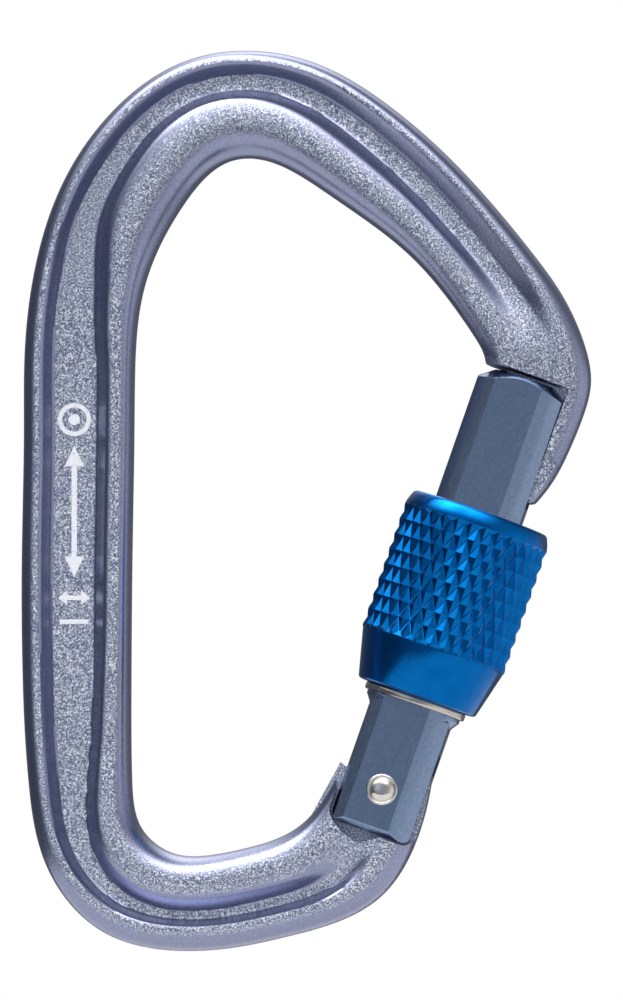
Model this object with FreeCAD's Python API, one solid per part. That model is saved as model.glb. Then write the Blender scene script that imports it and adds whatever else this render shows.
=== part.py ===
import FreeCAD, Part
import math
import os

# Locking (screwgate) carabiner, millimetres.
# Row frame: origin at the bearing point of the wide bend, on the mid-plane.
# +Z runs up the major axis, +Y through the thickness, the front faces -Y.
V = FreeCAD.Vector

# ---- gate axis ----
PIVOT = V(15.22, 0, -70.6)
GATE_TILT = 19.3
OPEN_ANGLE = 32.0

# ---- gate bar, measured from the pivot along its axis ----
GATE_FOOT = -4.85
GATE_TOP = 48.2
FLAT_Y = 4.2
BAR_R = 5.4
ROOT_R = 4.85
COLLAR_W = 9.7
RING_W0 = 10.1
RING_W1 = 10.9
THREAD_TOP = 31.1
LEAD = 2.4

# ---- hinge ----
TONGUE_Y = 1.6
ARM_SLOT_Y = 1.7
ARM_SLOT_TOP = 5.6
RIVET_R = 1.5
HINGE_GAP = 0.05
WALL_GAP = 0.25

# ---- nose ----
RECESS_W = 48.5
NOSE_U = 4.72
KEY_Y = 2.4
KEY_POCKET_Y = 2.6
KEY_IN_U = -2.3
KEY_FOOT_W = 35.3
KEY_TOP_W = 39.9
KEY_NECK_W = 40.9
NOSE_TURN_R = 6.7

# ---- spring bore ----
BORE_U = -1.9
BORE_R = 1.5
PLUNGER_R = 1.45
PLUNGER_TIP_W = 2.45
PLUNGER_TOP_W = 10.0
SPRING_TOP_W = 27.6
BORE_TOP_W = 27.7
WIRE_R = 0.22

# ---- sleeve ----
SLEEVE_BOTTOM = 10.95
SLEEVE_TOP = 32.6
SLEEVE_R = 8.3
SLEEVE_BORE_R = 5.5
COUNTERBORE_R = 6.9
COUNTERBORE_W = 23.5

# Stations along the forged bar, hinge end to nose: inner edge x, z, outer edge x, z.
STATIONS = [
    (10.7, -67.8, 20.7, -68.4),
    (7.6, -72.8, 19.3, -74.8),
    (4.4, -75.4, 15.0, -82.2),
    (0.0, -76.9, 4.6, -86.7),
    (-5.4, -77.8, -5.6, -88.3),
    (-9.2, -77.0, -15.6, -86.4),
    (-11.9, -74.3, -21.9, -79.6),
    (-12.8, -69.0, -24.2, -69.8),
    (-12.9, -58.0, -24.9, -57.5),
    (-12.8, -44.0, -25.0, -44.0),
    (-12.6, -30.0, -24.8, -30.0),
    (-12.2, -18.5, -24.4, -17.5),
    (-10.4, -11.4, -21.6, -5.4),
    (-7.2, -5.5, -15.6, 4.4),
    (-2.4, -0.7, -5.4, 11.1),
    (2.6, -0.6, 4.8, 11.2),
    (9.4, -4.5, 15.4, 5.9),
    (16.5, -9.7, 24.5, -2.3),
    (21.9, -15.4, 32.2, -11.5),
    (25.4, -20.4, 36.4, -18.2),
    (26.6, -23.7, 38.2, -24.2),
    (26.0, -27.8, 37.6, -28.4),
    (25.1, -31.7, 35.9, -32.7),
    (24.3, -35.6, 33.4, -37.2),
    (23.8, -37.4, 31.7, -39.2),
]

# Section along the bar: distance, then the pocket edges as fractions of the
# width from the outer edge (rib, web, web, rib), then the half thicknesses of
# outer rib, web and inner rib, then the widths of the outer and inner flanks.
SECTIONS = [
    (0.0, 0.30, 0.38, 0.46, 0.56, 4.0, 3.9, 4.0, 1.0, 1.2),
    (9.0, 0.28, 0.36, 0.44, 0.56, 4.0, 3.9, 4.0, 1.4, 2.4),
    (13.0, 0.25, 0.33, 0.43, 0.56, 4.0, 2.9, 4.1, 1.6, 3.0),
    (17.0, 0.24, 0.325, 0.42, 0.555, 4.0, 2.3, 4.2, 1.6, 3.2),
    (30.0, 0.25, 0.325, 0.42, 0.555, 4.0, 2.2, 4.4, 1.6, 3.4),
    (38.0, 0.24, 0.32, 0.45, 0.56, 4.0, 2.2, 4.3, 1.4, 3.2),
    (45.0, 0.20, 0.31, 0.52, 0.64, 4.0, 2.2, 4.1, 1.2, 2.4),
    (55.0, 0.185, 0.30, 0.64, 0.745, 3.9, 2.2, 4.0, 1.0, 1.8),
    (66.0, 0.18, 0.29, 0.675, 0.785, 3.9, 2.2, 4.0, 0.9, 1.5),
    (95.0, 0.17, 0.28, 0.675, 0.785, 3.9, 2.2, 4.0, 0.9, 1.5),
    (105.0, 0.16, 0.26, 0.58, 0.71, 3.9, 2.3, 4.1, 0.9, 2.2),
    (112.0, 0.14, 0.24, 0.43, 0.55, 3.9, 2.3, 4.4, 0.8, 3.8),
    (124.0, 0.127, 0.23, 0.37, 0.465, 3.9, 2.4, 4.7, 0.8, 5.4),
    (135.0, 0.127, 0.24, 0.38, 0.48, 3.9, 2.4, 4.7, 0.8, 5.2),
    (145.0, 0.135, 0.28, 0.43, 0.56, 3.9, 2.4, 4.5, 0.9, 4.2),
    (160.0, 0.17, 0.34, 0.52, 0.62, 4.0, 2.5, 4.2, 1.1, 2.4),
    (170.0, 0.20, 0.36, 0.52, 0.64, 4.0, 2.9, 4.0, 1.2, 2.0),
    (177.0, 0.24, 0.36, 0.48, 0.60, 3.9, 3.8, 3.9, 1.2, 1.6),
    (184.0, 0.24, 0.36, 0.48, 0.60, 3.0, 2.9, 3.0, 1.2, 1.4),
    (200.0, 0.24, 0.36, 0.48, 0.60, 2.8, 2.7, 2.8, 1.2, 1.2),
]


def gate_place(shape):
    """Move a shape from gate axes (u outwards, y, w up the gate) to the row frame."""
    out = shape.copy()
    turn = FreeCAD.Placement(PIVOT, FreeCAD.Rotation(V(0, 1, 0), GATE_TILT))
    out.Placement = turn.multiply(shape.Placement)
    return out


def bend(cu, cw, radius, a0, a1):
    """Path steps for an arc about (cu, cw), angles in degrees."""
    spots = []
    for angle in (a0, (a0 + a1) / 2, a1):
        a = math.radians(angle)
        spots.append((cu + radius * math.cos(a), cw + radius * math.sin(a)))
    return [spots[0], spots[1] + spots[2]]


def outline(path, to_space):
    """Closed face of a path: (a, b) is a line to there, (ma, mb, a, b) an arc through ma, mb."""
    edges = []
    here = path[0]
    for step in path[1:] + path[:1]:
        start = to_space(*here)
        end = to_space(*step[-2:])
        if len(step) == 4:
            edges.append(Part.Arc(start, to_space(*step[:2]), end).toShape())
        elif start.distanceToPoint(end) > 1e-6:
            edges.append(Part.makeLine(start, end))
        here = step[-2:]
    return Part.Face(Part.Wire(edges))


def plate(path, y0, y1):
    """Path of (u, w) steps extruded from y0 to y1."""
    return outline(path, lambda u, w: V(u, y0, w)).extrude(V(0, y1 - y0, 0))


def both_faces(path, y0, y1):
    """The same plate on the front and on the back."""
    return [plate(path, y0, y1), plate(path, -y1, -y0)]


def prism(path, w0, w1):
    """Path of (u, y) steps extruded along the gate."""
    return outline(path, lambda u, y: V(u, y, w0)).extrude(V(0, 0, w1 - w0))


def turned(path):
    """Closed path of (r, w) steps revolved about the gate axis."""
    face = outline(path, lambda r, w: V(r, 0, w))
    return face.revolve(V(0, 0, 0), V(0, 0, 1), 360)


# ---------------------------------------------------------------- frame
def edge_curves():
    """Smooth inner and outer edge lines and their shared distance parameter."""
    mids = [V((a + c) / 2, 0, (b + d) / 2) for a, b, c, d in STATIONS]
    dist = [0.0]
    for p, q in zip(mids, mids[1:]):
        dist.append(dist[-1] + p.distanceToPoint(q))
    inner = Part.BSplineCurve()
    inner.interpolate(Points=[V(a, 0, b) for a, b, c, d in STATIONS], Parameters=dist)
    outer = Part.BSplineCurve()
    outer.interpolate(Points=[V(c, 0, d) for a, b, c, d in STATIONS], Parameters=dist)
    return inner, outer, dist[-1]


def section_at(t):
    """Section numbers at distance t, straight between the table rows."""
    for low, high in zip(SECTIONS, SECTIONS[1:]):
        if t <= high[0]:
            break
    k = (t - low[0]) / (high[0] - low[0])
    return [a + (b - a) * k for a, b in zip(low[1:], high[1:])]


def flank(width, height, power):
    """Quarter of a superellipse from (0, 0) up to (width, height)."""
    out = []
    for k in range(5):
        a = math.radians(90.0 * k / 4)
        x = width * (1 - math.cos(a) ** (2 / power))
        out.append((x, height * math.sin(a) ** (2 / power)))
    return out


def section_wire(inner, outer, t):
    """Closed I-beam section of the forged bar at distance t."""
    a = outer.value(t)
    b = inner.value(t)
    width = a.distanceToPoint(b)
    across = (b - a).normalize()
    f1, f2, f3, f4, h1, hw, h2, e1, e2 = section_at(t)
    out_flank = flank(e1, h1, 2.6)
    in_flank = [(width - x, y) for x, y in reversed(flank(e2, h2, 2.2))]
    inner_rib = min(f4 * width, width - e2 - 0.25)
    pocket = [(f1 * width, h1), (f2 * width, hw), (f3 * width, hw), (inner_rib, h2)]
    half = [out_flank]
    corners = [out_flank[-1]] + pocket + [in_flank[0]]
    half += [[p, q] for p, q in zip(corners, corners[1:])]
    half.append(in_flank)
    runs = half + [[(x, -y) for x, y in reversed(run)] for run in reversed(half)]
    edges = []
    for run in runs:
        pts = [a + across * x + V(0, y, 0) for x, y in run]
        curve = Part.BSplineCurve()
        curve.interpolate(pts)
        edges.append(curve.toShape())
    return Part.Wire(edges)


def forged_length(t0, t1, count):
    """Length of the forged bar lofted through evenly spaced sections."""
    inner, outer, length = edge_curves()
    stops = [min(t0 + (t1 - t0) * k / count, length) for k in range(count + 1)]
    return Part.makeLoft([section_wire(inner, outer, t) for t in stops], True, False)


def swing_room():
    """Room for the gate arms around the hinge, closed to fully open."""
    g = WALL_GAP
    arm = [(-4.6 - g, 12)] + bend(-3.3, -3.55, 1.3 + g, 180, 270)
    arm += bend(3.9, -4.15, 0.7 + g, 270, 360) + [(4.6 + g, 12)]
    left = [(0, 0)] + bend(0, 0, 6.15 + g, 227, 227 + OPEN_ANGLE)
    right = [(0, 0)] + bend(0, 0, 6.4 + g, 313, 425)
    closed = both_faces(arm, TONGUE_Y, 8)
    swung = [tool.copy() for tool in closed]
    for tool in swung:
        tool.rotate(V(0, 0, 0), V(0, -1, 0), OPEN_ANGLE)
    return closed + swung + both_faces(left, TONGUE_Y, 8) + both_faces(right, TONGUE_Y, 8)


def hinge_tongue():
    """Web between the gate arms: round end, cam for the plunger."""
    path = bend(0, 0, 4.3, -60, 94) + [(-0.3, 2.75), (-1.2, 2.6), (-4.9, 1.14), (-5.5, 1.4)]
    path += [(-6.78, -6.15), (-4.0, -8.5), (2.0, -8.0)]
    return plate(path, -TONGUE_Y, TONGUE_Y)


def above_tongue():
    """Space over the cam and the round end that the gate slot sweeps."""
    path = [(-9, 2.2), (-5.5, 1.4), (-4.9, 1.14), (-1.2, 2.6), (-0.3, 2.75)]
    path += bend(0, 0, 4.3, 94, 42)
    path += [(9, 4.6), (9, 12), (-9, 12)]
    return plate(path, -9, 9)


def nose_cuts():
    """Recess for the gate end, key on the nose and the turned tip."""
    corner = bend(NOSE_U - 0.9, RECESS_W - 0.9, 0.9, 90, 0)
    recess = [(-9, RECESS_W)] + corner + [(NOSE_U, KEY_NECK_W), (-9, KEY_NECK_W)]
    cuts = both_faces(recess, TONGUE_Y, 8)
    neck = [(TONGUE_Y, KEY_NECK_W), (KEY_Y, KEY_TOP_W), (8, KEY_TOP_W), (8, KEY_NECK_W)]
    for side in (1, -1):
        face = outline(neck, lambda y, w: V(-9, side * y, w))
        cuts.append(face.extrude(V(9 + NOSE_U, 0, 0)))
    tip = [(-9, 30), (-9, KEY_TOP_W), (NOSE_U, KEY_TOP_W), (NOSE_U, 41.6), (9, 38.6), (9, 30)]
    cuts += both_faces(tip, KEY_Y, 8)
    cuts.append(turned([(NOSE_TURN_R, 30), (12, 30), (12, 38.0), (NOSE_TURN_R, 40.15)]))
    cuts.append(plate([(-9, 30), (-9, RECESS_W), (KEY_IN_U, RECESS_W), (KEY_IN_U, 30)], -9, 9))
    foot = [(-9, 30), (-9, KEY_FOOT_W + 1.0)] + bend(-1.3, KEY_FOOT_W + 1.0, 1.0, 180, 270)
    foot += bend(4.2, KEY_FOOT_W + 2.1, 2.1, 270, 360) + [(9, 39.0), (9, 30)]
    cuts.append(plate(foot, -9, 9))
    return cuts


def recess_chamfer():
    """Machined bevel along the top and outer edges of the recess."""
    tools = []
    for side in (1, -1):
        low = [V(-9, side * 2.9, RECESS_W), V(NOSE_U, side * 2.9, RECESS_W)]
        low += [V(NOSE_U, side * 2.9, 41.2), V(-9, side * 2.9, 41.2)]
        high = [V(-9, side * 4.1, RECESS_W + 0.5), V(NOSE_U + 0.5, side * 4.1, RECESS_W + 0.5)]
        high += [V(NOSE_U + 0.5, side * 4.1, 41.2), V(-9, side * 4.1, 41.2)]
        wires = [Part.makePolygon(ring + ring[:1]) for ring in (low, high)]
        tools.append(Part.makeLoft(wires, True, True))
    return tools


def make_frame():
    hinge_end = forged_length(0, 15, 6).cut([gate_place(tool) for tool in swing_room()])
    hinge_end = hinge_end.fuse(gate_place(hinge_tongue()))
    bore = Part.makeCylinder(RIVET_R + HINGE_GAP, 20, V(0, -10, 0), V(0, 1, 0))
    hinge_end = hinge_end.cut([gate_place(tool) for tool in (above_tongue(), bore)])
    nose_end = forged_length(169, 195, 12)
    nose_end = nose_end.cut([gate_place(tool) for tool in nose_cuts() + recess_chamfer()])
    ends = [max(end.Solids, key=lambda s: s.Volume) for end in (hinge_end, nose_end)]
    return forged_length(15, 169, 36).fuse(ends)


# ---------------------------------------------------------------- gate
def thread_ridge(r_root, r_crest, w0, turns):
    """Right-hand trapezoid ridge wound about the gate axis."""
    helix = Part.makeHelix(LEAD, LEAD * turns, r_root)
    ring = [V(r_root, 0, -0.62), V(r_crest, 0, -0.38), V(r_crest, 0, 0.38), V(r_root, 0, 0.62)]
    profile = Part.makePolygon(ring + ring[:1])
    ridge = Part.Wire(helix.Edges).makePipeShell([profile], True, True)
    ridge.translate(V(0, 0, w0))
    return ridge


def facets(side_out, side_in, side_y=2.3):
    """Bar section: front flat and two narrow facets each side."""
    front = [(-side_in, -side_y), (-4.2, -3.5), (-3.1, -FLAT_Y), (2.15, -FLAT_Y), (3.5, -3.65)]
    front += [(side_out, -3.0)]
    return front + [(u, -y) for u, y in reversed(front)]


def gate_bar():
    """Turned bar with faceted ends and end chamfers."""
    lower = prism(facets(4.6, 4.6), GATE_FOOT, 9.3)
    rounds = [(-4.6, 12)] + bend(-3.3, -3.55, 1.3, 180, 270)
    rounds += bend(3.9, -4.15, 0.7, 270, 360) + [(4.6, 12)]
    lower = lower.common(plate(rounds, -9, 9))
    eased = [(-4.3, 12), (-4.3, -4.1), (-3.5, -4.9), (3.5, -4.9), (4.3, -4.1), (4.3, 12)]
    lower = lower.common(outline(eased, lambda y, w: V(-9, y, w)).extrude(V(18, 0, 0)))
    upper = prism(facets(4.62, 5.2), THREAD_TOP, GATE_TOP)
    cone = [(0, 30), (9, 30), (9, 44), (5.6, 46.8), (4.0, GATE_TOP - 0.2), (3.7, GATE_TOP), (0, GATE_TOP)]
    upper = upper.common(turned(cone))
    flare = [(4.0, 7.0), (4.55, 8.4, BAR_R, COLLAR_W), (BAR_R, RING_W0 - 0.05), (0, RING_W0 - 0.05), (0, 7.0)]
    flare = turned(flare).common(prism(facets(5.6, 5.6, 0.98), 6, 11))
    core = [(0, 8.0), (3.9, 8.0), (3.9, RING_W0 - 0.05), (ROOT_R, RING_W0 - 0.05), (ROOT_R, THREAD_TOP)]
    core += [(BAR_R, THREAD_TOP), (BAR_R, THREAD_TOP + 0.4), (4.4, THREAD_TOP + 1.6), (0, THREAD_TOP + 1.6)]
    return lower.fuse([flare, turned(core), upper])


def make_gate():
    bar = gate_bar()
    ridge = thread_ridge(ROOT_R - 0.15, BAR_R, 12.2, 7.7)
    bar = bar.fuse(ridge)
    arm_slot = Part.makeBox(20, 2 * ARM_SLOT_Y, 20, V(-10, -ARM_SLOT_Y, ARM_SLOT_TOP - 20))
    rivet_hole = Part.makeCylinder(RIVET_R, 20, V(0, -10, 0), V(0, 1, 0))
    bore = Part.makeCylinder(BORE_R, BORE_TOP_W - 4, V(BORE_U, 0, 4), V(0, 0, 1))
    y0 = KEY_POCKET_Y
    y1 = ARM_SLOT_Y
    low = 34.6
    path = [(-y0, low), (y0, low), (y0, 40.2), (y1, 41.4), (y1, 60), (-y1, 60), (-y1, 41.4), (-y0, 40.2)]
    key_slot = outline(path, lambda y, w: V(KEY_IN_U - 0.2, y, w)).extrude(V(20, 0, 0))
    bar = bar.cut([arm_slot, rivet_hole, bore, key_slot])
    return gate_place(max(bar.Solids, key=lambda s: s.Volume))


# ---------------------------------------------------------------- small parts
def make_rivet():
    """Shank through tongue and arms with a ringed dome formed at each end."""
    y = FLAT_Y
    profile = [(0, -y - 0.5), (0.5, -y - 0.44), (0.9, -y - 0.22), (1.15, -y - 0.18), (1.35, -y - 0.32)]
    profile += [(1.6, -y - 0.28), (1.73, -y - 0.12), (1.73, -y), (RIVET_R, -y)]
    profile += [(r, -v) for r, v in reversed(profile)]
    shape = turned(profile)
    shape.rotate(V(0, 0, 0), V(1, 0, 0), 90)
    return gate_place(shape)


def make_ring():
    """Split ring that stops the sleeve."""
    ring = turned([(4.9, RING_W0), (5.8, RING_W0), (5.8, RING_W1), (4.9, RING_W1)])
    gap = Part.makeBox(1.2, 6, 6, V(-0.6, 3, 8))
    return gate_place(ring.cut(gap))


def make_sleeve():
    """Threaded sleeve: plain bore, short internal thread, counterbore for the nose."""
    profile = [(5.75, SLEEVE_BOTTOM), (6.6, SLEEVE_BOTTOM), (6.9, 11.2), (8.22, 16.2), (SLEEVE_R, 16.7)]
    profile += [(SLEEVE_R, 30.5), (8.22, 31.1), (7.85, 32.35), (7.6, SLEEVE_TOP), (7.1, SLEEVE_TOP)]
    profile += [(COUNTERBORE_R, 32.4), (COUNTERBORE_R, COUNTERBORE_W), (SLEEVE_BORE_R, COUNTERBORE_W)]
    profile += [(SLEEVE_BORE_R, 11.2)]
    body = turned(profile)
    ridge = thread_ridge(SLEEVE_BORE_R + 0.15, ROOT_R + 0.12, 12.2 + LEAD / 2, 1.75)
    return gate_place(body.fuse(ridge))


def make_plunger():
    """Follower pin with a domed tip that rides on the hinge tongue."""
    body = Part.makeCylinder(PLUNGER_R, PLUNGER_TOP_W - 3.9, V(BORE_U, 0, 3.9), V(0, 0, 1))
    tip = Part.makeSphere(PLUNGER_R, V(BORE_U, 0, PLUNGER_TIP_W + PLUNGER_R))
    return gate_place(body.fuse(tip).removeSplitter())


def make_spring():
    """Closed-pitch wire spring between the plunger and the end of its bore."""
    w0 = PLUNGER_TOP_W + WIRE_R + 0.02
    height = SPRING_TOP_W - WIRE_R - w0
    turns = 11
    helix = Part.makeHelix(height / turns, height, 1.15)
    wire = Part.Wire([Part.makeCircle(WIRE_R, V(1.15, 0, 0), V(0, 1, 0))])
    coil = Part.Wire(helix.Edges).makePipeShell([wire], True, True)
    coil.translate(V(BORE_U, 0, w0))
    return gate_place(coil)


PARTS = {
    "frame": make_frame,
    "gate": make_gate,
    "hinge_rivet": make_rivet,
    "gate_spring": make_spring,
    "spring_plunger": make_plunger,
    "stop_ring": make_ring,
    "lock_sleeve": make_sleeve,
}

os.makedirs("parts", exist_ok=True)
for name, make in PARTS.items():
    shape = make()
    box = shape.BoundBox
    print(name, shape.isValid(), len(shape.Solids), len(shape.Faces), round(shape.Volume, 1))
    print("   x %.2f %.2f  y %.2f %.2f  z %.2f %.2f" %
          (box.XMin, box.XMax, box.YMin, box.YMax, box.ZMin, box.ZMax))
    shape.exportStep("parts/%s.step" % name)
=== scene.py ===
import math

import bmesh
import bpy
import numpy as np
from mathutils import Matrix, Vector


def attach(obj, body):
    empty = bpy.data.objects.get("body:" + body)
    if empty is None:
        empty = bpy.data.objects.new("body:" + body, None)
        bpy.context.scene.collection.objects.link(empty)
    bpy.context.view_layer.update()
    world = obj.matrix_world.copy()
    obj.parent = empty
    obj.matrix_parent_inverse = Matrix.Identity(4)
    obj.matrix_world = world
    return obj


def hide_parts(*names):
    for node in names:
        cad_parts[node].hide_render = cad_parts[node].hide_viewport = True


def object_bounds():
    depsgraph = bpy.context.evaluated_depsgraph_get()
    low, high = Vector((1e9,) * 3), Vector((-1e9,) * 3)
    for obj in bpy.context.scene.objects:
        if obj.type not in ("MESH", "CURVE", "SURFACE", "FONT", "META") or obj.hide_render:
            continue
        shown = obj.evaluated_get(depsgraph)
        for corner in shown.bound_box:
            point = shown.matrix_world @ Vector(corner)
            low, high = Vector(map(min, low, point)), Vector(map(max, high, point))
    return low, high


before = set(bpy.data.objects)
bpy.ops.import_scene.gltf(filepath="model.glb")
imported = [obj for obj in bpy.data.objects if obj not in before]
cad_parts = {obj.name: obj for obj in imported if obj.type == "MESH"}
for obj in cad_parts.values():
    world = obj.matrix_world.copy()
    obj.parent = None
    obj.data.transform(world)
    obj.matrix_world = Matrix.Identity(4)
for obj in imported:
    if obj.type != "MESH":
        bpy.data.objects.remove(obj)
cad_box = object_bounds()

# Shapes are worked out in millimetres and scaled to metres at the end.
MM = 0.001
PIVOT_X, PIVOT_Z = 15.22, -70.6
TILT = math.radians(19.3)
OPEN_ANGLE = 32.0

# Cuts at the two ends of the bar, in gate axes.
TONGUE_Y = 1.6        # half thickness of the hinge tongue and of the web in the nose recess
CUT_Y = 8             # end of a side cut, outside the bar
BEYOND = 9            # half width of a cut right through the bar
SWING_GAP = 0.25      # room left round the gate arms
RECESS_OUT, RECESS_LOW, RECESS_TOP = 4.72, 40.9, 48.5
BEVEL = 0.5
NECK_LOW = 39.9       # lowest point of the key's shoulder
MILLED_U, MILLED_Y, MILLED_W = (-9, 5.35), (1.55, 4.05), (39.5, 49.2)

# Distances along the bar, mm.
SEAM_LOW, SEAM_HIGH = 15.0, 169.0
SECTION_BLEND = 1.6

# Knurl and thread on the sleeve.
KNURL_FOOT, KNURL_TOP = 16.45, 31.0
THREAD_LEAD = 2.4

# Stations along the forged bar, hinge end to nose: inner edge x, z, outer edge x, z.
BAR_STATIONS = [
    (10.7, -67.8, 20.7, -68.4),
    (7.6, -72.8, 19.3, -74.8),
    (4.4, -75.4, 15.0, -82.2),
    (0.0, -76.9, 4.6, -86.7),
    (-5.4, -77.8, -5.6, -88.3),
    (-9.2, -77.0, -15.6, -86.4),
    (-11.9, -74.3, -21.9, -79.6),
    (-12.8, -69.0, -24.2, -69.8),
    (-12.9, -58.0, -24.9, -57.5),
    (-12.8, -44.0, -25.0, -44.0),
    (-12.6, -30.0, -24.8, -30.0),
    (-12.2, -18.5, -24.4, -17.5),
    (-10.4, -11.4, -21.6, -5.4),
    (-7.2, -5.5, -15.6, 4.4),
    (-2.4, -0.7, -5.4, 11.1),
    (2.6, -0.6, 4.8, 11.2),
    (9.4, -4.5, 15.4, 5.9),
    (16.5, -9.7, 24.5, -2.3),
    (21.9, -15.4, 32.2, -11.5),
    (25.4, -20.4, 36.4, -18.2),
    (26.6, -23.7, 38.2, -24.2),
    (26.0, -27.8, 37.6, -28.4),
    (25.1, -31.7, 35.9, -32.7),
    (24.3, -35.6, 33.4, -37.2),
    (23.8, -37.4, 31.7, -39.2),
]

# Along the bar: distance, four pocket edges as fractions of the width from the
# outer edge, half thickness of outer rib, web and inner rib, roundness of the ribs.
BAR_SECTIONS = [
    (0.0, 0.28, 0.36, 0.44, 0.56, 4.0, 4.0, 4.0, 3.4, 3.2),
    (9.0, 0.28, 0.36, 0.46, 0.56, 4.0, 4.0, 4.0, 3.0, 2.8),
    (13.0, 0.25, 0.33, 0.44, 0.56, 4.0, 2.8, 4.1, 2.7, 2.5),
    (17.0, 0.24, 0.325, 0.43, 0.555, 4.0, 2.3, 4.2, 2.6, 2.4),
    (30.0, 0.25, 0.325, 0.42, 0.555, 4.0, 2.2, 4.4, 2.5, 2.3),
    (38.0, 0.24, 0.32, 0.45, 0.56, 4.0, 2.2, 4.3, 2.5, 2.4),
    (45.0, 0.20, 0.31, 0.53, 0.64, 4.0, 2.2, 4.1, 2.6, 2.5),
    (55.0, 0.185, 0.30, 0.65, 0.745, 3.9, 2.2, 4.0, 2.8, 2.7),
    (66.0, 0.18, 0.29, 0.68, 0.785, 3.9, 2.2, 4.0, 2.8, 2.8),
    (95.0, 0.17, 0.28, 0.68, 0.785, 3.9, 2.2, 4.0, 2.8, 2.8),
    (105.0, 0.16, 0.26, 0.58, 0.71, 3.9, 2.3, 4.1, 2.6, 2.5),
    (112.0, 0.14, 0.24, 0.43, 0.55, 3.9, 2.3, 4.4, 2.4, 2.3),
    (124.0, 0.127, 0.23, 0.37, 0.465, 3.9, 2.4, 4.7, 2.4, 2.2),
    (135.0, 0.127, 0.24, 0.38, 0.48, 3.9, 2.4, 4.7, 2.4, 2.2),
    (145.0, 0.135, 0.28, 0.43, 0.56, 3.9, 2.4, 4.5, 2.5, 2.3),
    (160.0, 0.17, 0.34, 0.52, 0.62, 4.0, 2.5, 4.2, 2.6, 2.5),
    (170.0, 0.20, 0.36, 0.52, 0.64, 4.0, 2.9, 4.0, 2.8, 2.8),
    (177.0, 0.24, 0.36, 0.48, 0.60, 3.9, 3.9, 3.9, 3.0, 3.0),
    (184.0, 0.24, 0.36, 0.48, 0.60, 3.0, 3.0, 3.0, 3.0, 3.0),
    (200.0, 0.24, 0.36, 0.48, 0.60, 2.8, 2.8, 2.8, 3.0, 3.0),
]


# ------------------------------------------------------------ small tools
def gate_axes():
    """Matrix from gate axes (u outwards, y, w up the gate), mm, to the row frame, m."""
    turn = Matrix.Rotation(TILT, 4, "Y")
    move = Matrix.Translation((PIVOT_X * MM, 0, PIVOT_Z * MM))
    return move @ turn @ Matrix.Scale(MM, 4)


def mesh_object(name, verts, faces, materials=()):
    mesh = bpy.data.meshes.new(name)
    mesh.from_pydata([tuple(v) for v in verts], [], [tuple(f) for f in faces])
    mesh.validate()
    obj = bpy.data.objects.new(name, mesh)
    bpy.context.scene.collection.objects.link(obj)
    for material in materials:
        mesh.materials.append(material)
    return obj


def finish_shading(obj, sharp_degrees=30.0):
    """Outward normals, smooth faces, and sharp edges where the surface really turns."""
    bm = bmesh.new()
    bm.from_mesh(obj.data)
    bmesh.ops.recalc_face_normals(bm, faces=bm.faces)
    limit = math.radians(sharp_degrees)
    for face in bm.faces:
        face.smooth = True
    for edge in bm.edges:
        edge.smooth = len(edge.link_faces) == 2 and edge.calc_face_angle() < limit
    bm.to_mesh(obj.data)
    bm.free()


def arc(cu, cw, radius, a0, a1, steps=10):
    angles = [math.radians(a0 + (a1 - a0) * k / steps) for k in range(steps + 1)]
    return [(cu + radius * math.cos(a), cw + radius * math.sin(a)) for a in angles]


def slab(name, path, y0, y1):
    """Closed plate of a (u, w) path between y0 and y1, in gate axes."""
    count = len(path)
    verts = [(u, y0, w) for u, w in path] + [(u, y1, w) for u, w in path]
    faces = [tuple(range(count)), tuple(range(2 * count - 1, count - 1, -1))]
    for k in range(count):
        n = (k + 1) % count
        faces.append((k, k + count, n + count, n))
    obj = mesh_object(name, verts, faces)
    finish_shading(obj)
    return obj


def lathe(profile, steps=96, a0=0.0, a1=360.0):
    """Closed (r, w) profile turned about the gate axis; returns vertices and faces."""
    full = abs(a1 - a0 - 360.0) < 1e-6
    rings = steps if full else steps + 1
    count = len(profile)
    verts = []
    for k in range(rings):
        a = math.radians(a0 + (a1 - a0) * k / steps)
        verts += [(r * math.cos(a), r * math.sin(a), w) for r, w in profile]
    faces = []
    for k in range(steps):
        here, there = k * count, ((k + 1) % rings) * count
        for p in range(count):
            q = (p + 1) % count
            faces.append((here + p, there + p, there + q, here + q))
    if not full:
        faces += [tuple(range(count)), tuple(range((rings - 1) * count, rings * count))]
    return verts, faces


def to_gate(obj):
    obj.data.transform(gate_axes())
    obj.data.update()


def merged(obj, distance):
    bm = bmesh.new()
    bm.from_mesh(obj.data)
    bmesh.ops.remove_doubles(bm, verts=bm.verts, dist=distance)
    bm.to_mesh(obj.data)
    bm.free()


def cut(obj, tool, operation="DIFFERENCE"):
    """Apply one exact boolean and drop the tool."""
    modifier = obj.modifiers.new("cut", "BOOLEAN")
    modifier.operation = operation
    modifier.solver = "EXACT"
    modifier.object = tool
    solid = bpy.data.meshes.new_from_object(obj.evaluated_get(bpy.context.evaluated_depsgraph_get()))
    obj.modifiers.clear()
    old = obj.data
    obj.data = solid
    bpy.data.meshes.remove(old)
    bpy.data.objects.remove(tool)


def join(name, objects):
    """One object made of several, in the place of the first."""
    bm = bmesh.new()
    materials = []
    for obj in objects:
        slots = [m for m in obj.data.materials] or [None]
        for m in slots:
            if m not in materials:
                materials.append(m)
        start = len(bm.faces)
        bm.from_mesh(obj.data)
        bm.faces.ensure_lookup_table()
        for face in bm.faces[start:]:
            face.material_index = materials.index(slots[min(face.material_index, len(slots) - 1)])
    mesh = bpy.data.meshes.new(name)
    bm.to_mesh(mesh)
    bm.free()
    for m in materials:
        mesh.materials.append(m)
    for obj in objects:
        bpy.data.objects.remove(obj)
    out = bpy.data.objects.new(name, mesh)
    bpy.context.scene.collection.objects.link(out)
    return out


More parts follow.
